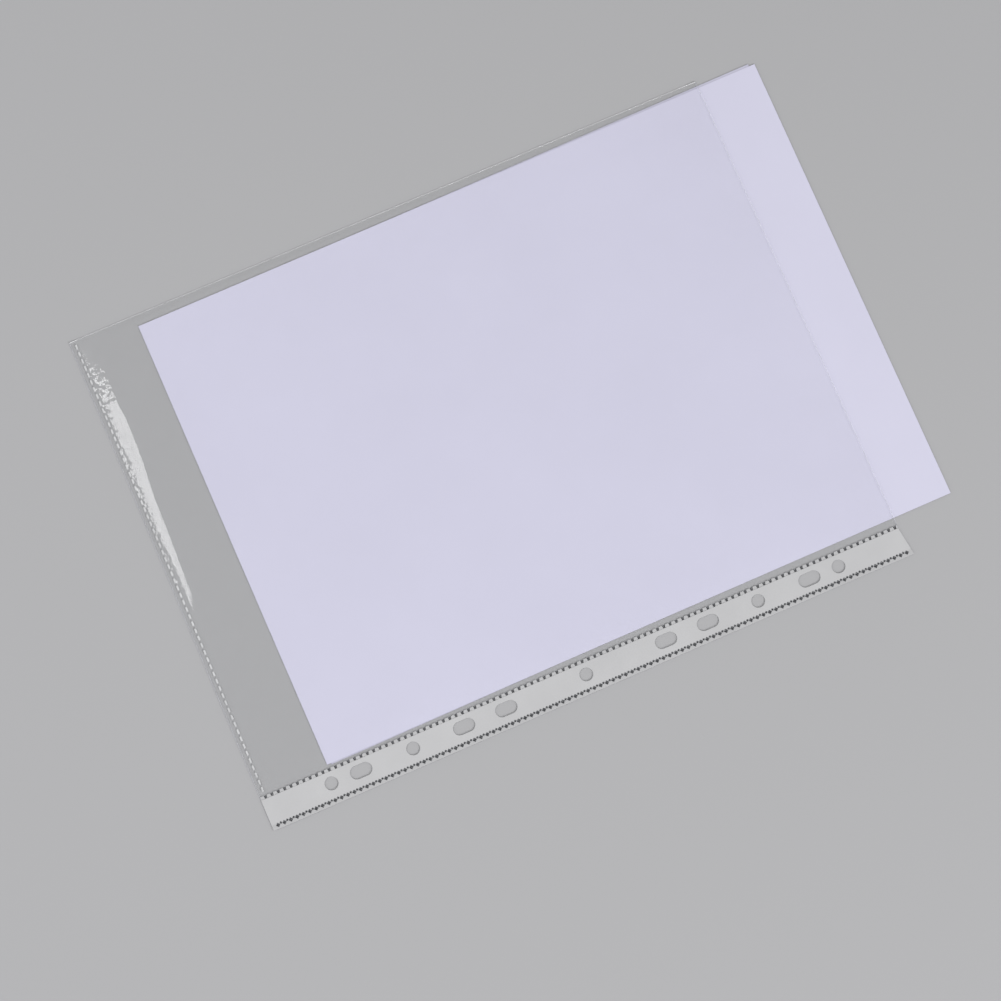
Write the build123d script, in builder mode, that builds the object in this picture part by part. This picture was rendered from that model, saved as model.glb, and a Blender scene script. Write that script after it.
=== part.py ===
from build123d import *
from math import asin, atan, degrees
import os

# A clear A4 punched pocket: a film web folded along its far edge, a white binding strip
# welded between the two film layers, and two paper sheets half pulled out of the mouth.
# Millimetres. The origin is the centre ring hole at the resting plane, +X runs along the
# strip towards the mouth, +Y runs from the strip to the fold, +Z is up.

# Paper sheets, A4
sheet_length = 297.0
sheet_width = 210.0
sheet_thickness = 0.1
sheet_clearance = 0.02  # under each sheet
rear_trim = 3.2  # how much shorter the lower sheet is

# Pocket, sized to take a sheet
side_play = 6.3  # spare width beside a sheet
end_play = 1.7  # spare depth from a sheet pushed home to the mouth
film_thickness = 0.12
mouth_skew = 1.4  # how much less the mouth reaches at the fold
pocket_rise = 1.2  # lift of the front film above its flat rim
rise_width = 6.0  # plan width of the S-shaped rise
rim_margin = 0.2  # flat rim between a weld and the foot of the rise

# Binding strip
ribbon_thickness = 0.3
strip_outer = 8.5  # hole line to the outer edge, halfway along
strip_skew = 1.3  # how much nearer the outer edge comes by the mouth
comb_root = 5.1  # hole line to the roots of the comb's teeth
comb_depth = 1.4  # length of a tooth
strip_flare = 1.8  # how far the strip's outer corner passes the mouth

# Ring holes, all on the hole line
hole_diameter = 6.0
slot_length = 10.0
round_offsets = (81.65, 120.0)  # pairs of round holes, each side of the centre hole
slot_offsets = (37.8, 57.7, 106.1)  # pairs of slots, each side of the centre hole

# Welds
dash_pitch = 3.4
dash_length = 2.2
dash_width = 0.85
dash_chamfer = 0.2
bottom_margin = 2.4  # closed bottom end to the middle of the dashes
wheel_pitch = 2.98  # pitch of the two weld wheels along the strip
wheel_lead = 0.6  # centre hole to the middle notch of the comb, along the strip
notch_width = 1.45  # comb notch at the tips of the teeth
notch_slope = 80.0  # lean of a notch's sides, in degrees
knurl_margin = 1.65  # outer edge to the row of large diamonds
knurl_size = 1.5  # across a large diamond
knurl_step = 0.5  # from the large diamonds in to the row of small ones
knurl_small = 0.7  # across a small diamond

# How the two sheets lie in the pocket
front_pull = 28.5  # how far the upper sheet is pulled out of its pushed-home place
front_shift = -0.65  # across the pocket from its middle line
front_slant = 0.33  # share of the side play that the sheet's slant takes up
rear_pull = 29.7  # the same three for the lower sheet
rear_shift = -0.4
rear_slant = 0.6

# Levels and lines that follow from the sizes above
ribbon_bottom = film_thickness
rim_bottom = ribbon_bottom + ribbon_thickness
stack_top = rim_bottom + film_thickness
fold_radius = stack_top / 2
rear_sheet_bottom = film_thickness + sheet_clearance
front_sheet_bottom = rear_sheet_bottom + sheet_thickness + sheet_clearance
comb_tip = comb_root + comb_depth
foot_low = comb_tip + rim_margin
fold_line = foot_low + sheet_width + side_play
closed_margin = bottom_margin + dash_width / 2 + rim_margin
pocket_length = closed_margin + sheet_length + end_play
half_length = pocket_length / 2
dash_line = bottom_margin - half_length
foot_left = closed_margin - half_length
past_mouth = half_length + strip_flare
pocket_middle = (foot_low + fold_line) / 2


def mouth_at(y):
    """Where the straight cut of the mouth lies at a distance y from the hole line."""
    return half_length - mouth_skew * (y - comb_root) / (fold_line - comb_root)


mouth_cut = Plane(
    origin=(mouth_at(comb_root), comb_root, 0),
    x_dir=(0, 0, 1),
    z_dir=(fold_line - comb_root, mouth_skew, 0),
)


def panel(near, far):
    """Outline of film or ribbon from the closed end to the mouth, between two lines along X."""
    Polygon(
        (-half_length, near),
        (mouth_at(near), near),
        (mouth_at(far), far),
        (-half_length, far),
        align=None,
    )


near_mitre = Plane(origin=(foot_left, foot_low, 0), x_dir=(0, 0, 1), z_dir=(1, -1, 0))
far_mitre = Plane(origin=(foot_left, fold_line, 0), x_dir=(0, 0, 1), z_dir=(1, 1, 0))


def inside_rise(inset, mode=Mode.ADD):
    """Everything inside the foot of the rise, moved in by inset, out past the mouth."""
    Polygon(
        (foot_left + inset, foot_low + inset),
        (past_mouth, foot_low + inset),
        (past_mouth, fold_line - inset),
        (foot_left + inset, fold_line - inset),
        align=None,
        mode=mode,
    )


def rise_section():
    """Section of the film's S-shaped rise, two equal tangent arcs up from its foot."""
    with BuildLine() as curve:
        lower = TangentArc((0, 0), (rise_width / 2, pocket_rise / 2), tangent=(1, 0))
        TangentArc(lower @ 1, (rise_width, pocket_rise), tangent=lower % 1)
        offset(amount=film_thickness, side=Side.LEFT)
    make_face(curve.edges())


def comb_notches(mode=Mode.ADD):
    """Clear trapezoids between the teeth of the comb, along the strip's inner edge."""
    with Locations((wheel_lead, comb_root)):
        with GridLocations(wheel_pitch, wheel_pitch, int(pocket_length / wheel_pitch), 1):
            with Locations(Rotation(0, 0, 180)):
                Trapezoid(notch_width, comb_depth, notch_slope, align=(Align.CENTER, Align.MAX), mode=mode)


def knurl_diamonds(mode=Mode.ADD):
    """Two staggered rows of clear diamonds along the strip's outer edge."""
    strip_length = half_length + past_mouth
    lean = degrees(atan(strip_skew / strip_length))
    cells = int(strip_length / wheel_pitch)
    with Locations(Location((strip_flare / 2, knurl_margin - strip_outer), lean)):
        with GridLocations(wheel_pitch, wheel_pitch, cells, 1):
            RegularPolygon(knurl_size / 2, 4, mode=mode)
        with Locations((0, knurl_step)):
            with GridLocations(wheel_pitch, wheel_pitch, cells - 1, 1):
                RegularPolygon(knurl_small / 2, 4, mode=mode)


def ring_holes():
    """Centre hole and the mirrored pairs of round holes and slots, cut on the hole line."""
    sides = (-1, 1)
    Circle(hole_diameter / 2, mode=Mode.SUBTRACT)
    with Locations(*[(side * offset, 0) for offset in round_offsets for side in sides]):
        Circle(hole_diameter / 2, mode=Mode.SUBTRACT)
    with Locations(*[(side * offset, 0) for offset in slot_offsets for side in sides]):
        SlotOverall(slot_length, hole_diameter, mode=Mode.SUBTRACT)


def paper(length, pull, shift, slant):
    """Outline of one sheet: pulled out along the pocket, moved across it and slanted in its play."""
    turn = degrees(asin(slant * side_play / length))
    with Locations(Location((foot_left + length / 2 + pull, pocket_middle + shift), turn)):
        Rectangle(length, sheet_width)


# Rear film: the flat panel that lies on the table, from the comb to the fold
with BuildPart() as rear_film:
    with BuildSketch():
        panel(comb_root, fold_line)
    extrude(amount=film_thickness)

# Film border: the flat rim over the welds, and the fold
with BuildPart() as film_border:
    with BuildSketch(Plane.XY.offset(rim_bottom)):
        Polygon(
            (-half_length, comb_root),
            (past_mouth, comb_root),
            (past_mouth, fold_line),
            (-half_length, fold_line),
            align=None,
        )
        inside_rise(0, Mode.SUBTRACT)
    extrude(amount=film_thickness)

    with BuildSketch(Plane.YZ.offset(-half_length)):
        with Locations((fold_line, fold_radius)):
            Circle(fold_radius)
            Circle(fold_radius - film_thickness, mode=Mode.SUBTRACT)
            Rectangle(fold_radius, 2 * fold_radius, align=(Align.MAX, Align.CENTER), mode=Mode.SUBTRACT)
    extrude(amount=half_length + past_mouth)
    split(bisect_by=mouth_cut, keep=Keep.BOTTOM)

# Bottom rise: the front film's way up from the closed end, mitred at both corners
with BuildPart() as bottom_rise:
    with BuildSketch(Plane(origin=(foot_left, fold_line, rim_bottom), x_dir=(1, 0, 0), z_dir=(0, -1, 0))):
        rise_section()
    extrude(amount=fold_line - foot_low)
    split(bisect_by=near_mitre, keep=Keep.BOTTOM)
    split(bisect_by=far_mitre, keep=Keep.BOTTOM)

# Strip rise: the same beside the comb, out to the mouth
with BuildPart() as strip_rise:
    with BuildSketch(Plane(origin=(foot_left, foot_low, rim_bottom), x_dir=(0, 1, 0), z_dir=(1, 0, 0))):
        rise_section()
    extrude(amount=past_mouth - foot_left)
    split(bisect_by=near_mitre, keep=Keep.TOP)
    split(bisect_by=mouth_cut, keep=Keep.BOTTOM)

# Fold rise: the same beside the fold
with BuildPart() as fold_rise:
    with BuildSketch(Plane(origin=(past_mouth, fold_line, rim_bottom), x_dir=(0, -1, 0), z_dir=(-1, 0, 0))):
        rise_section()
    extrude(amount=past_mouth - foot_left)
    split(bisect_by=far_mitre, keep=Keep.TOP)
    split(bisect_by=mouth_cut, keep=Keep.BOTTOM)

# Front film: the flat panel over the sheets, carried by the rise on three sides
with BuildPart() as front_film:
    with BuildSketch(Plane.XY.offset(rim_bottom + pocket_rise)):
        inside_rise(rise_width)
    extrude(amount=film_thickness)
    split(bisect_by=mouth_cut, keep=Keep.BOTTOM)

# Binding strip: white laminate with the ring holes, and a comb of teeth between the films
with BuildPart() as binding_strip:
    with BuildSketch():
        Polygon(
            (-half_length, -strip_outer - strip_skew / 2),
            (past_mouth, -strip_outer + strip_skew / 2),
            (mouth_at(comb_root), comb_root),
            (-half_length, comb_root),
            align=None,
        )
        ring_holes()
        knurl_diamonds(Mode.SUBTRACT)
    extrude(amount=stack_top)
    with BuildSketch(Plane.XY.offset(ribbon_bottom)):
        panel(comb_root, comb_tip)
        comb_notches(Mode.SUBTRACT)
    extrude(amount=ribbon_thickness)

# Bottom weld: the dashes that join the two films at the closed end
with BuildPart() as bottom_weld:
    with BuildSketch(Plane.XY.offset(ribbon_bottom)):
        with Locations((dash_line, (comb_tip + fold_line) / 2)):
            with GridLocations(dash_pitch, dash_pitch, 1, int((fold_line - comb_tip) / dash_pitch)):
                Rectangle(dash_width, dash_length)
        chamfer(vertices(), dash_chamfer)
    extrude(amount=ribbon_thickness)

# Inner weld: clear film fused between the comb's teeth
with BuildPart() as inner_weld:
    with BuildSketch(Plane.XY.offset(ribbon_bottom)):
        comb_notches()
    extrude(amount=ribbon_thickness)

# Outer weld: clear diamonds pressed through the strip by the knurled wheel
with BuildPart() as outer_weld:
    with BuildSketch():
        knurl_diamonds()
    extrude(amount=stack_top)

# Rear sheet: the lower paper, on the rear film
with BuildPart() as rear_sheet:
    with BuildSketch(Plane.XY.offset(rear_sheet_bottom)):
        paper(sheet_length - rear_trim, rear_pull, rear_shift, rear_slant)
    extrude(amount=sheet_thickness)

# Front sheet: the upper paper, on the lower one
with BuildPart() as front_sheet:
    with BuildSketch(Plane.XY.offset(front_sheet_bottom)):
        paper(sheet_length, front_pull, front_shift, front_slant)
    extrude(amount=sheet_thickness)

pieces = {
    "rear_film": rear_film,
    "film_border": film_border,
    "bottom_rise": bottom_rise,
    "strip_rise": strip_rise,
    "fold_rise": fold_rise,
    "front_film": front_film,
    "binding_strip": binding_strip,
    "bottom_weld": bottom_weld,
    "inner_weld": inner_weld,
    "outer_weld": outer_weld,
    "rear_sheet": rear_sheet,
    "front_sheet": front_sheet,
}
os.makedirs("parts", exist_ok=True)
for name, piece in pieces.items():
    piece.part.label = name
    export_step(piece.part, f"parts/{name}.step")
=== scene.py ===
import math

import bmesh
import bpy
from mathutils import Matrix, Vector, noise


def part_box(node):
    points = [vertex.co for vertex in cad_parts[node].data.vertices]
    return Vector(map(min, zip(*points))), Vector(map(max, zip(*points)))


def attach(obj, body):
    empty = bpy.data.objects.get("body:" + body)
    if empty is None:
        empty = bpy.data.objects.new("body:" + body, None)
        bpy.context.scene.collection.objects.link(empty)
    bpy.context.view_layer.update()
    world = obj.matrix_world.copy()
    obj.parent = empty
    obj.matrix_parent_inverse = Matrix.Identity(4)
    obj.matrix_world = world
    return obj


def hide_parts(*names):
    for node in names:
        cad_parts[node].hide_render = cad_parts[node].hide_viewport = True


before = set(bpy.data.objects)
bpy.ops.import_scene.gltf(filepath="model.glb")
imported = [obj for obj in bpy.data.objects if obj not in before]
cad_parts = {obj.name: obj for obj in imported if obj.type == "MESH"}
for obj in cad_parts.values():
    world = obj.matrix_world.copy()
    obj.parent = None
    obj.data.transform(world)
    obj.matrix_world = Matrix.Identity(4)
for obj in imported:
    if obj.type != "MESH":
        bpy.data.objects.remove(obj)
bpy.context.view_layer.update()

# A clear A4 punched pocket with a white binding strip and two paper sheets, seen from above.
# Metres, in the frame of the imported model: +X along the strip to the mouth, +Y to the fold.
MM = 0.001


def points_of(node):
    """The corners of a node's solid."""
    return [vertex.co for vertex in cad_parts[node].data.vertices]


# The web of film, from the boxes of three of its solids
rear_lo, rear_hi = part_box("rear_film")
border_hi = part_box("film_border")[1]
panel_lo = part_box("front_film")[0]
FILM = rear_hi.z  # thickness
BOTTOM_END = rear_lo.x
MOUTH_NEAR = rear_hi.x
COMB_ROOT = rear_lo.y
FOLD_LINE = rear_hi.y
MOUTH_FAR = max(co.x for co in points_of("rear_film") if co.y > FOLD_LINE - MM)
FOLD_RADIUS = border_hi.y - FOLD_LINE
RIM_TOP = 2 * FOLD_RADIUS
RIM_MIDDLE = RIM_TOP - FILM / 2
LIFT = panel_lo.z + FILM / 2 - RIM_MIDDLE  # of the front film above the rim
RISE_WIDTH = 6.0 * MM
GENTLE_WIDTH = 42.0 * MM
FOOT_LEFT = panel_lo.x - RISE_WIDTH
FOOT_LOW = panel_lo.y - RISE_WIDTH
FOLD_STEPS = 10
GRID_GROWTH = 0.25  # of the grid's steps, away from its fine stretches

# How the film comes up from the bottom weld: distance from the hole line, share of the lift that is
# steep, plan width of the steep part and where it starts, in millimetres
BOTTOM_RISE = (
    (0, 0.04, 2.8, 1.2),
    (90, 0.05, 2.8, 1.2),
    (98, 0.22, 3.0, 1.2),
    (115, 0.38, 3.8, 1.0),
    (128, 0.6, 4.8, 0.5),
    (145, 0.9, 5.8, 0.0),
    (175, 1.0, 8.0, 0.0),
    (196, 0.96, 7.0, 0.0),
    (206, 0.8, 6.0, 0.0),
    (216, 0.55, 5.0, 0.0),
    (230, 0.4, 4.5, 0.0),
)

# The film's creased stretches: how strong the creases are, and where the stretch starts, is full,
# starts to fade and ends, first in from the bottom weld and then along it, from the hole line
BESIDE_WELD = (1.7, (0.0, 0.5 * MM, 1.2 * MM, 2.4 * MM), (97 * MM, 112 * MM, 200 * MM, 212 * MM))
FAR_CORNER = (1.3, (0.0, 0.5 * MM, 6 * MM, 9 * MM), (188 * MM, 196 * MM, 204 * MM, 211 * MM))
CREASE_HEIGHT = 0.16 * MM
CREASE_CELL_IN = 1.2 * MM
CREASE_CELL_ALONG = 1.5 * MM
RIPPLE_LENGTH = 34 * MM
RIPPLE_SHARE = 0.14  # of the lift

# The film's edges, drawn as thin beads whose pale colour is a painted highlight
EDGE = 0.1 * MM  # radius
EDGE_SIDES = 6
TIP_RADIUS = 0.24 * MM  # at the cut ends of the fold, which carry a painted highlight
TIP_END = 1.1 * EDGE  # radius where a tip runs into the crease
TIP_LENGTH = 4.0 * MM
TIP_STEPS = 6

# The bottom weld. A dash has rings from its underside to its dished top, each with the share of
# the width that it keeps and its height.
DASH_PITCH = 3.4 * MM
DASH_LENGTH = 2.2 * MM
DASH_CORNER = 0.4  # share of the width
DASH_CORNER_STEPS = 4
DASH_RINGS = (
    (1.0, 0.02 * MM),
    (1.0, RIM_TOP + 0.01 * MM),
    (0.8, RIM_TOP + 0.03 * MM),
    (0.55, RIM_TOP - 0.02 * MM),
)

# The fused windows along the strip. A window has rings from its rim to its floor, each with the
# share of the outline and the share of the dip.
WINDOW_RINGS = ((0.98, 0.0), (0.7, 0.8), (0.35, 1.0))
COMB_HEIGHT = RIM_MIDDLE - FILM
COMB_DIP = 0.12 * MM
KNURL_HEIGHT = RIM_TOP + 0.015 * MM
KNURL_DIP = 0.2 * MM
KNURL_SPILL = 0.3 * MM
SPILL_RISE = 0.005 * MM
SAME_POINT = 0.001 * MM
SAME_LEVEL = 0.01 * MM

# The strip and the papers
MARGIN = 2.5 * MM  # the strip's outer margin, where the weld has pressed it thin
MARGIN_BLUR = 0.2 * MM
MARGIN_SHADE = 0.9
STRIP_MERGE = 0.002 * MM
STRIP_BEVEL = 0.08 * MM
STRIP_BEVEL_ANGLE = math.radians(50)
PAPER_CELLS_ALONG = 60
PAPER_CELLS_ACROSS = 42


# Shape of the film

def mouth_at(y):
    """X of the straight cut of the mouth."""
    return MOUTH_NEAR + (MOUTH_FAR - MOUTH_NEAR) * (y - COMB_ROOT) / (FOLD_LINE - COMB_ROOT)


def graded(start, end, fine, coarse, fine_start, fine_end):
    """Stations from start to end, fine over the first and last stretches and coarse between."""
    stations = [start]
    while stations[-1] < end:
        here = stations[-1]
        from_fine = max(min(here - start - fine_start, end - fine_end - here), 0)
        stations.append(here + min(coarse, fine + GRID_GROWTH * from_fine))
    scale = (end - start) / (stations[-1] - start)
    return [start + (station - start) * scale for station in stations]


def s_rise(share):
    """The S of two equal curves, from 0 at the foot of the rise to 1 at its top."""
    t = min(max(share, 0.0), 1.0)
    return 2 * t * t if t < 0.5 else 1 - 2 * (1 - t) ** 2


def tangents(table, column):
    """Slopes, row by row, of a smooth curve through a table's column, level where the column turns."""
    chords = []
    for before, after in zip(table, table[1:]):
        chords.append((after[column] - before[column]) / (after[0] - before[0]))
    inner = [2 * p * q / (p + q) if p * q > 0 else 0.0 for p, q in zip(chords, chords[1:])]
    return [0.0, *inner, 0.0]


RISE_TANGENTS = [tangents(BOTTOM_RISE, column) for column in (1, 2, 3)]


def bottom_rise(dx, y):
    """Share of the lift at a distance in from the bottom weld."""
    last = len(BOTTOM_RISE) - 2
    row = min(last, max(k for k, values in enumerate(BOTTOM_RISE) if k == 0 or values[0] * MM <= y))
    before = BOTTOM_RISE[row]
    after = BOTTOM_RISE[row + 1]
    span = after[0] - before[0]
    t = min(max((y / MM - before[0]) / span, 0.0), 1.0)
    smooth = []
    for low, high, slopes in zip(before[1:], after[1:], RISE_TANGENTS):
        lead = slopes[row] * t * (1 - t) ** 2 - slopes[row + 1] * t * t * (1 - t)
        smooth.append(low + (high - low) * t * t * (3 - 2 * t) + span * lead)
    steep, width, start = smooth
    return steep * s_rise((dx / MM - start) / width) + (1 - steep) * s_rise(dx / GENTLE_WIDTH)


def hump(value, start, full, fade, end):
    """0 up to start, 1 from full to fade, 0 again after end, smooth between."""
    return s_rise((value - start) / (full - start)) * (1 - s_rise((value - fade) / (end - fade)))


def puckers(dx, y):
    """Small creases of the film along the bottom weld and towards its far corner."""
    strengths = []
    for strength, inward, along in (BESIDE_WELD, FAR_CORNER):
        strengths.append(strength * hump(dx, *inward) * hump(y, *along))
    crease = noise.noise(Vector((dx / CREASE_CELL_IN, y / CREASE_CELL_ALONG, 0.0)))
    return CREASE_HEIGHT * max(strengths) * crease


def front_height(x, y):
    """Height of the middle of the front film, which rises from the bottom weld, the comb and the fold."""
    side = min(y - FOOT_LOW, FOLD_LINE - y)
    rise = bottom_rise(x - FOOT_LEFT, y) * s_rise(side / RISE_WIDTH)
    ripple = noise.noise(Vector((x, y, 0.0)) / RIPPLE_LENGTH)
    lifted = LIFT * rise * (1 - RIPPLE_SHARE + RIPPLE_SHARE * ripple)
    return RIM_MIDDLE + max(lifted + puckers(x - FOOT_LEFT, y), 0.0)


# Meshes

def new_piece(name, bm, body, material, smooth=True):
    """A mesh object from bm that rides on a body and takes a material."""
    mesh = bpy.data.meshes.new(name)
    bm.to_mesh(mesh)
    bm.free()
    for polygon in mesh.polygons:
        polygon.use_smooth = smooth
    obj = bpy.data.objects.new(name, mesh)
    bpy.context.scene.collection.objects.link(obj)
    obj.data.materials.append(material)
    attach(obj, body)
    return obj


def join_rows(bm, rows):
    """Quads between open rows of vertices."""
    for low, high in zip(rows, rows[1:]):
        for a, b, c, d in zip(low, low[1:], high[1:], high):
            bm.faces.new((a, b, c, d))


def join_rings(bm, rings):
    """Quads between closed rings of vertices."""
    for low, high in zip(rings, rings[1:]):
        for i in range(len(low)):
            j = (i + 1) % len(low)
            bm.faces.new((low[i], low[j], high[j], high[i]))


# Materials

WHITE = (1, 1, 1, 1)
NOISE_LOW = 0.3  # the usual range of a noise texture
NOISE_HIGH = 0.7
FACING_GLOSS = 0.04  # share that the film mirrors when it is seen straight on
GRAZING_POWER = 5.0


def node_material(name):
    """An empty node material, with its tree and its output."""
    material = bpy.data.materials.new(name)
    material.use_nodes = True
    tree = material.node_tree
    tree.nodes.clear()
    return material, tree, tree.nodes.new("ShaderNodeOutputMaterial")


def add(tree, kind, inputs=None, **settings):
    """A node with its settings, and its inputs linked or set."""
    node = tree.nodes.new(kind)
    for key, value in settings.items():
        setattr(node, key, value)
    for key, value in (inputs or {}).items():
        if isinstance(value, bpy.types.NodeSocket):
            tree.links.new(value, node.inputs[key])
        else:
            node.inputs[key].default_value = value
    return node


def object_noise(tree, scale, detail=2.0, roughness=0.5, stretch=(1, 1, 1)):
    """Noise over the object's own coordinates."""
    place = add(tree, "ShaderNodeTexCoord").outputs["Object"]
    mapped = add(tree, "ShaderNodeMapping", {"Vector": place, "Scale": stretch}).outputs["Vector"]
    inputs = {"Vector": mapped, "Scale": scale, "Detail": detail, "Roughness": roughness}
    return add(tree, "ShaderNodeTexNoise", inputs).outputs["Fac"]


def spread(tree, value, low, high):
    """The noise's usual range stretched from low to high."""
    inputs = {"Value": value, "From Min": NOISE_LOW, "From Max": NOISE_HIGH, "To Min": low, "To Max": high}
    return add(tree, "ShaderNodeMapRange", inputs).outputs["Result"]


def grain_bump(tree, height, strength, distance):
    """The normal of a surface with a fine grain."""
    inputs = {"Height": height, "Strength": strength, "Distance": distance}
    return add(tree, "ShaderNodeBump", inputs).outputs["Normal"]


def mixed_surface(tree, out, share, first, second):
    """Gives the output a mix of two shaders."""
    mixed = add(tree, "ShaderNodeMixShader", {0: share, 1: first.outputs[0], 2: second.outputs[0]})
    tree.links.new(mixed.outputs[0], out.inputs["Surface"])


def opaque_surface(tree, out, colour, shade, inputs):
    """Gives the output an opaque body, with its colour darkened by a shade that varies."""
    tone = add(tree, "ShaderNodeMix", {"Factor": 1.0, "A": (*colour, 1), "B": shade},
               data_type="RGBA", blend_type="MULTIPLY")
    body = add(tree, "ShaderNodeBsdfPrincipled", inputs)
    tree.links.new(tone.outputs["Result"], body.inputs["Base Color"])
    tree.links.new(body.outputs[0], out.inputs["Surface"])


def plastic_surface(tree, out, colour, shade, roughness):
    """Gives the output an opaque plastic with a fine grain."""
    grain = object_noise(tree, scale=1500.0, detail=3.0)
    bump = grain_bump(tree, grain, strength=0.15, distance=0.05 * MM)
    opaque_surface(tree, out, colour, shade, {"Roughness": roughness, "Normal": bump})


def film_material(name, tint, rough_low, rough_high):
    """Clear film: it shows what is behind it, with a gloss that grows at a slant."""
    material, tree, out = node_material(name)
    bump = grain_bump(tree, object_noise(tree, scale=700.0), strength=0.03, distance=0.05 * MM)
    rough = spread(tree, object_noise(tree, scale=60.0), rough_low, rough_high)
    gloss = add(tree, "ShaderNodeBsdfGlossy", {"Color": WHITE, "Roughness": rough, "Normal": bump})
    clear = add(tree, "ShaderNodeBsdfTransparent", {"Color": (*tint, 1)})
    slant = add(tree, "ShaderNodeLayerWeight", {"Blend": 0.5, "Normal": bump}).outputs["Facing"]
    grazing = add(tree, "ShaderNodeMath", {0: slant, 1: GRAZING_POWER}, operation="POWER").outputs[0]
    share = add(tree, "ShaderNodeMath", {0: grazing, 1: 1 - FACING_GLOSS, 2: FACING_GLOSS},
                operation="MULTIPLY_ADD").outputs[0]
    mixed_surface(tree, out, share, clear, gloss)
    return material


def edge_material(name, colour, cover_low, cover_high):
    """Cut and folded edges of the film: a pale colour mixed into clear, a painted highlight where light
    gathers along them.
    """
    material, tree, out = node_material(name)
    cover = spread(tree, object_noise(tree, scale=260.0), cover_low, cover_high)
    body = add(tree, "ShaderNodeBsdfPrincipled", {"Base Color": (*colour, 1), "Roughness": 0.25})
    clear = add(tree, "ShaderNodeBsdfTransparent", {"Color": WHITE})
    mixed_surface(tree, out, cover, clear, body)
    return material


def strip_material(name, colour):
    """White laminate, greyer along its outer margin, where the knurled weld has pressed it thin."""
    material, tree, out = node_material(name)
    cloud = spread(tree, object_noise(tree, scale=38.0, detail=4.0, roughness=0.6), low=0.93, high=1.0)
    # The strip's outer edge runs straight between its two outermost corners
    corners = points_of("binding_strip")
    left = min(corners, key=lambda co: co.x + co.y)
    right = max(corners, key=lambda co: co.x - co.y)
    inward = Vector((left.y - right.y, right.x - left.x, 0)).normalized()
    start = inward.dot(left) + MARGIN
    place = add(tree, "ShaderNodeTexCoord").outputs["Object"]
    reach = add(tree, "ShaderNodeVectorMath", {0: place, 1: inward}, operation="DOT_PRODUCT").outputs["Value"]
    inputs = {"Value": reach, "From Min": start - MARGIN_BLUR, "From Max": start + MARGIN_BLUR,
              "To Min": MARGIN_SHADE, "To Max": 1.0}
    margin = add(tree, "ShaderNodeMapRange", inputs).outputs["Result"]
    shade = add(tree, "ShaderNodeMath", {0: cloud, 1: margin}, operation="MULTIPLY").outputs[0]
    plastic_surface(tree, out, colour, shade, roughness=0.45)
    return material


def weld_material(name, colour):
    """Plastic that is pressed whitish and a little cloudy."""
    material, tree, out = node_material(name)
    shade = spread(tree, object_noise(tree, scale=45.0, detail=3.0), low=0.82, high=1.0)
    plastic_surface(tree, out, colour, shade, roughness=0.3)
    return material


def paper_material(name, colour):
    """Uncoated bluish-white paper: fine fibres and a faint cloudiness."""
    material, tree, out = node_material(name)
    fibre = object_noise(tree, scale=900.0, detail=4.0, roughness=0.7, stretch=(1, 0.35, 1))
    bump = grain_bump(tree, fibre, strength=0.12, distance=0.03 * MM)
    cloud = spread(tree, object_noise(tree, scale=16.0, detail=5.0, roughness=0.6), low=0.97, high=1.0)
    inputs = {"Roughness": 0.85, "Specular IOR Level": 0.25, "Normal": bump}
    opaque_surface(tree, out, colour, cloud, inputs)
    return material


FILM_LOOK = film_material("clear_film", (0.994, 0.995, 0.996), rough_low=0.05, rough_high=0.1)
# The fused windows are real, but their dark tint is painted shade: it keeps the holes dark and darkens the
# strip where their rims spill past
FUSED_SHADED_LOOK = film_material("fused_film_painted_shade", (0.5, 0.505, 0.52), rough_low=0.2, rough_high=0.35)
# Painted highlights: the pale cut edges, fold crease and fold tips stand in for light gathering along the
# film's edges
CUT_EDGE_HIGHLIGHT = edge_material("cut_edge_highlight", (0.72, 0.725, 0.78), cover_low=0.2, cover_high=0.55)
CREASE_HIGHLIGHT = edge_material("fold_crease", (0.88, 0.885, 0.9), cover_low=0.25, cover_high=0.6)
TIP_HIGHLIGHT = edge_material("fold_tip", (0.88, 0.885, 0.9), cover_low=0.75, cover_high=0.95)
STRIP_LOOK = strip_material("white_strip", (0.53, 0.53, 0.54))
WELD_LOOK = weld_material("weld", (0.64, 0.645, 0.655))
FRONT_PAPER_LOOK = paper_material("paper", (0.64, 0.63, 0.765))
# The rear sheet's paper is drawn darker than the front sheet's
REAR_PAPER_LOOK = paper_material("darker_rear_paper", (0.54, 0.532, 0.643))


# The film

def film_web():
    """Front film, fold and rear film in one sheet."""
    along = graded(BOTTOM_END, MOUTH_NEAR,
                   fine=0.5 * MM, coarse=4 * MM, fine_start=14 * MM, fine_end=2 * MM)
    across = graded(COMB_ROOT, FOLD_LINE,
                    fine=0.5 * MM, coarse=0.8 * MM, fine_start=9 * MM, fine_end=38 * MM)
    under = graded(COMB_ROOT, FOLD_LINE,
                   fine=2 * MM, coarse=12 * MM, fine_start=2 * MM, fine_end=2 * MM)
    radius = FOLD_RADIUS - FILM / 2
    bm = bmesh.new()

    def place(share, y, z):
        """A vertex at a share of the length from the bottom end to the mouth, which is cut at a slant."""
        length = mouth_at(min(y, FOLD_LINE)) - BOTTOM_END
        return bm.verts.new((BOTTOM_END + share * length, y, z))

    rows = []
    for x in along:
        share = (x - BOTTOM_END) / (MOUTH_NEAR - BOTTOM_END)
        row = [place(share, y, front_height(x, y)) for y in across]
        for i in range(1, FOLD_STEPS):
            angle = math.pi * i / FOLD_STEPS
            y = FOLD_LINE + radius * math.sin(angle)
            row.append(place(share, y, FOLD_RADIUS + radius * math.cos(angle)))
        row += [place(share, y, FILM / 2) for y in reversed(under)]
        rows.append(row)
    join_rows(bm, rows)
    web = new_piece("film_web", bm, "pocket", FILM_LOOK)
    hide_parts("rear_film", "film_border", "bottom_rise", "strip_rise", "fold_rise", "front_film")


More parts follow.
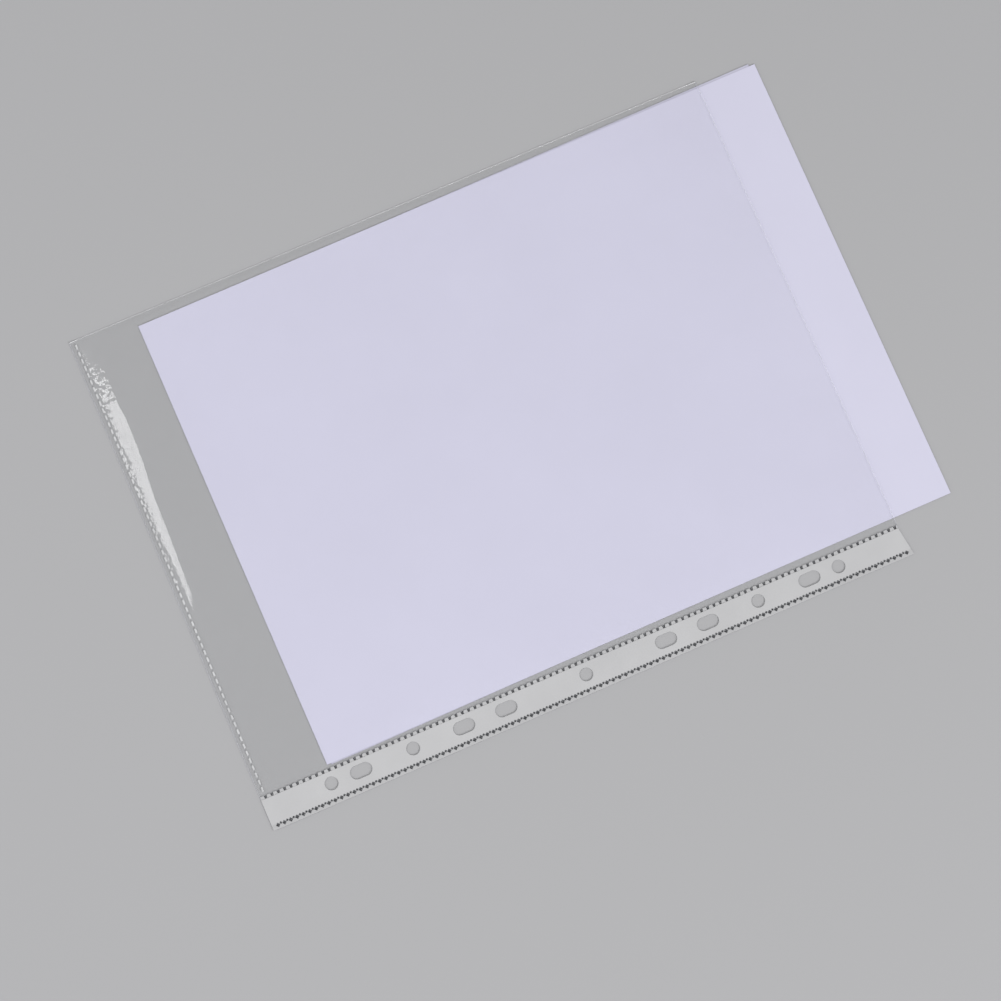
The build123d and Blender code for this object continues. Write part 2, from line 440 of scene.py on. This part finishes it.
def bead(bm, points, radii):
    """A thin closed tube along a line of points, with a radius at each."""
    turns = [2 * math.pi * k / EDGE_SIDES for k in range(EDGE_SIDES)]
    rings = []
    for i, (point, radius) in enumerate(zip(points, radii)):
        ahead = (points[min(i + 1, len(points) - 1)] - points[max(i - 1, 0)]).normalized()
        out = ahead.cross(Vector((0, 0, 1))).normalized()
        up = out.cross(ahead)
        spots = [point + radius * (out * math.cos(turn) + up * math.sin(turn)) for turn in turns]
        rings.append([bm.verts.new(spot) for spot in spots])
    join_rings(bm, rings)
    bm.faces.new(list(reversed(rings[0])))
    bm.faces.new(rings[-1])


def film_edges():
    """The cut edges at the mouth and the bottom end, drawn as beads with a painted highlight."""
    across = graded(COMB_ROOT + EDGE, FOLD_LINE,
                    fine=0.5 * MM, coarse=4 * MM, fine_start=9 * MM, fine_end=7 * MM)
    upper = [EDGE] * len(across)
    lower = [FILM / 2] * len(across)
    bm = bmesh.new()
    bead(bm, [Vector((mouth_at(y) - EDGE, y, front_height(mouth_at(y), y))) for y in across], upper)
    bead(bm, [Vector((mouth_at(y) - EDGE, y, FILM / 2)) for y in across], lower)
    bead(bm, [Vector((BOTTOM_END + EDGE, y, RIM_MIDDLE)) for y in across], upper)
    bead(bm, [Vector((BOTTOM_END + EDGE, y, FILM / 2)) for y in across], lower)
    new_piece("film_edges", bm, "pocket", CUT_EDGE_HIGHLIGHT)


def fold_crease():
    """The crease along the fold, drawn as a bead with a painted highlight."""
    along = graded(BOTTOM_END + FOLD_RADIUS, MOUTH_FAR - EDGE,
                   fine=1 * MM, coarse=6 * MM, fine_start=8 * MM, fine_end=8 * MM)
    line = [Vector((x, FOLD_LINE + FOLD_RADIUS - EDGE, FOLD_RADIUS)) for x in along]
    bm = bmesh.new()
    bead(bm, line, [EDGE] * len(along))
    new_piece("fold_crease", bm, "pocket", CREASE_HIGHLIGHT)


def fold_tips():
    """The two cut ends of the fold, with a painted highlight, tapering into its crease."""
    shares = [i / TIP_STEPS for i in range(TIP_STEPS + 1)]
    radii = [TIP_RADIUS + (TIP_END - TIP_RADIUS) * share for share in shares]
    bm = bmesh.new()
    for end, inward in ((BOTTOM_END + EDGE, 1), (MOUTH_FAR - EDGE, -1)):
        line = []
        for share, radius in zip(shares, radii):
            x = end + inward * TIP_LENGTH * share
            line.append(Vector((x, FOLD_LINE + FOLD_RADIUS - radius, FOLD_RADIUS)))
        bead(bm, line, radii)
    new_piece("fold_tips", bm, "pocket", TIP_HIGHLIGHT)


# The welds

def rounded_bar(width, length, corner, steps):
    """Points round a bar with round corners, in its own plane."""
    points = []
    for quarter, (sx, sy) in enumerate(((1, 1), (-1, 1), (-1, -1), (1, -1))):
        for i in range(steps + 1):
            angle = math.pi / 2 * (quarter + i / steps)
            points.append((sx * (width / 2 - corner) + corner * math.cos(angle),
                           sy * (length / 2 - corner) + corner * math.sin(angle)))
    return points


def weld_dashes():
    """The bottom weld: pressed dashes through both films."""
    lo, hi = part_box("bottom_weld")
    middle = (lo.x + hi.x) / 2
    width = hi.x - lo.x
    count = round((hi.y - lo.y - DASH_LENGTH) / DASH_PITCH) + 1
    outline = rounded_bar(width, DASH_LENGTH, DASH_CORNER * width, DASH_CORNER_STEPS)
    bm = bmesh.new()
    for k in range(count):
        y = lo.y + DASH_LENGTH / 2 + k * DASH_PITCH
        rings = []
        for size, z in DASH_RINGS:
            inset = (1 - size) * width / 2
            ring = [(px * (1 - 2 * inset / width), py * (1 - 2 * inset / DASH_LENGTH)) for px, py in outline]
            rings.append([bm.verts.new((middle + px, y + py, z)) for px, py in ring])
        join_rings(bm, rings)
        bm.faces.new(rings[-1])
        bm.faces.new(list(reversed(rings[0])))
    dashes = new_piece("bottom_weld_dashes", bm, "pocket", WELD_LOOK)
    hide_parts("bottom_weld")


def outlines(node):
    """The middle and the outline of the top of each separate solid in a node."""
    solids = bmesh.new()
    solids.from_mesh(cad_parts[node].data)
    bmesh.ops.remove_doubles(solids, verts=solids.verts, dist=SAME_POINT)
    seen = set()
    found = []
    for start in solids.verts:
        if start in seen:
            continue
        seen.add(start)
        island = []
        queue = [start]
        while queue:
            vert = queue.pop()
            island.append(vert.co.copy())
            beside = [edge.other_vert(vert) for edge in vert.link_edges]
            queue += [other for other in beside if other not in seen]
            seen.update(beside)
        top = max(co.z for co in island)
        rim = [co for co in island if co.z > top - SAME_LEVEL]
        middle = sum(rim, Vector()) / len(rim)
        rim.sort(key=lambda co: math.atan2(co.y - middle.y, co.x - middle.x))
        found.append((middle, rim))
    solids.free()
    return found


def fused_windows(node, name, rim_height, dip, spill=0.0):
    """Thin windows where the films are fused through, dished in from rims that may spill past the holes;
    their dark tint is painted shade.
    """
    bm = bmesh.new()
    for middle, rim in outlines(node):
        levels = [(size, rim_height - share * dip) for size, share in WINDOW_RINGS]
        if spill:
            levels.insert(0, (1 + spill / (rim[0] - middle).length, rim_height + SPILL_RISE))
        rings = []
        for size, z in levels:
            spots = [middle + size * (co - middle) for co in rim]
            rings.append([bm.verts.new((spot.x, spot.y, z)) for spot in spots])
        join_rings(bm, rings)
        bm.faces.new(rings[-1])
    windows = new_piece(name, bm, "pocket", FUSED_SHADED_LOOK)
    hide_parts(node)


# The strip and the paper sheets

def dress_strip():
    """The strip keeps its solid, with small rounds on its edges."""
    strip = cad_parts["binding_strip"]
    strip.data.materials.clear()
    strip.data.materials.append(STRIP_LOOK)
    weld = strip.modifiers.new("weld", "WELD")
    weld.merge_threshold = STRIP_MERGE
    bevel = strip.modifiers.new("bevel", "BEVEL")
    bevel.width = STRIP_BEVEL
    bevel.segments = 2
    bevel.limit_method = "ANGLE"
    bevel.angle_limit = STRIP_BEVEL_ANGLE


def paper_sheet(node, body, name, look):
    """One flat sheet over its solid, whose corners it takes."""
    lo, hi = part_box(node)
    corners = points_of(node)
    far_left = min(corners, key=lambda co: co.x)
    across = min(corners, key=lambda co: co.y) - far_left
    along = max(corners, key=lambda co: co.y) - far_left
    bm = bmesh.new()
    rows = []
    for i in range(PAPER_CELLS_ALONG + 1):
        row = []
        for k in range(PAPER_CELLS_ACROSS + 1):
            spot = far_left + along * (i / PAPER_CELLS_ALONG) + across * (k / PAPER_CELLS_ACROSS)
            row.append(bm.verts.new((spot.x, spot.y, (lo.z + hi.z) / 2)))
        rows.append(row)
    join_rows(bm, rows)
    bmesh.ops.reverse_faces(bm, faces=bm.faces)
    sheet = new_piece(name, bm, body, look, smooth=False)
    solid = sheet.modifiers.new("thickness", "SOLIDIFY")
    solid.thickness = hi.z - lo.z
    solid.offset = 0.0
    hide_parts(node)


film_web()
film_edges()
fold_crease()
fold_tips()
weld_dashes()
fused_windows("inner_weld", "comb_windows", COMB_HEIGHT, COMB_DIP)
fused_windows("outer_weld", "knurl_windows", KNURL_HEIGHT, KNURL_DIP, spill=KNURL_SPILL)
paper_sheet("rear_sheet", "rear_paper", "rear_paper_sheet", REAR_PAPER_LOOK)
paper_sheet("front_sheet", "front_paper", "front_paper_sheet", FRONT_PAPER_LOOK)
dress_strip()


# Stage: a plain pale floor, a soft sky and soft lamps

FLOOR_SIZE = 12
FLOOR_HEIGHT = -0.05 * MM
SKY_LOW = 0.82  # the sky is brighter low down, where a slanting look at the film mirrors it
SKY_TOP = 0.39


def facing(place, right, back):
    """The matrix of a lamp or camera at a place, with its right side and its back in these directions."""
    return Matrix.Translation(place) @ Matrix((right, back.cross(right), back)).transposed().to_4x4()


def softbox(name, place, target, along, size, power):
    """A soft rectangular lamp that faces its target, its first side lying along a direction."""
    lamp = bpy.data.lights.new(name, "AREA")
    lamp.shape = "RECTANGLE"
    lamp.size, lamp.size_y = size
    lamp.energy = power
    back = (Vector(place) - Vector(target)).normalized()
    side = (Vector(along) - back * back.dot(Vector(along))).normalized()
    obj = bpy.data.objects.new(name, lamp)
    obj.matrix_world = facing(place, side, back)
    bpy.context.scene.collection.objects.link(obj)


floor_material, floor_tree, floor_out = node_material("floor")
floor_look = {"Base Color": (0.42, 0.42, 0.43, 1), "Roughness": 0.9, "Specular IOR Level": 0.1}
floor_body = add(floor_tree, "ShaderNodeBsdfPrincipled", floor_look)
floor_tree.links.new(floor_body.outputs[0], floor_out.inputs["Surface"])
bpy.ops.mesh.primitive_plane_add(size=FLOOR_SIZE, location=(0, 0, FLOOR_HEIGHT))
floor = bpy.context.object
floor.name = "floor"
floor.data.materials.append(floor_material)

world = bpy.data.worlds.new("studio")
bpy.context.scene.world = world
world.use_nodes = True
sky = world.node_tree
sky_direction = add(sky, "ShaderNodeTexCoord").outputs["Generated"]
sky_height = add(sky, "ShaderNodeSeparateXYZ", {0: sky_direction}).outputs["Z"]
sky_range = {"Value": sky_height, "To Min": SKY_LOW, "To Max": SKY_TOP}
sky_level = add(sky, "ShaderNodeMapRange", sky_range).outputs["Result"]
sky.nodes["Background"].inputs["Color"].default_value = WHITE
sky.links.new(sky_level, sky.nodes["Background"].inputs["Strength"])

softbox("key", place=(0.7, -1.7, 1.5), target=(0, 0.1, 0),
        along=(1, 0, 0), size=(1.2, 1.0), power=35)
softbox("edge", place=(-0.8, 0.337, 1.15), target=(-0.15, 0.156, 0),
        along=(1, 0, 0), size=(1.1, 0.225), power=5.2)

# Camera, as fitted to the sheet's corners and the ring holes

CAMERA_PLACE = Vector((-0.10484, -0.10188, 1.55922))
CAMERA_RIGHT = Vector((0.9188115, -0.3945103, 0.0121266))
CAMERA_AHEAD = Vector((0.0639842, 0.1185608, -0.9908831))
FOCAL_PIXELS = 3600
IMAGE_PIXELS = 1001
camera_data = bpy.data.cameras.new("camera")
camera_data.sensor_width = 36
camera_data.lens = camera_data.sensor_width * FOCAL_PIXELS / IMAGE_PIXELS
camera_data.clip_start = 0.05
camera = bpy.data.objects.new("camera", camera_data)
camera.matrix_world = facing(CAMERA_PLACE, CAMERA_RIGHT, -CAMERA_AHEAD)
bpy.context.scene.collection.objects.link(camera)
bpy.context.scene.camera = camera
bpy.context.scene.view_settings.view_transform = "Standard"
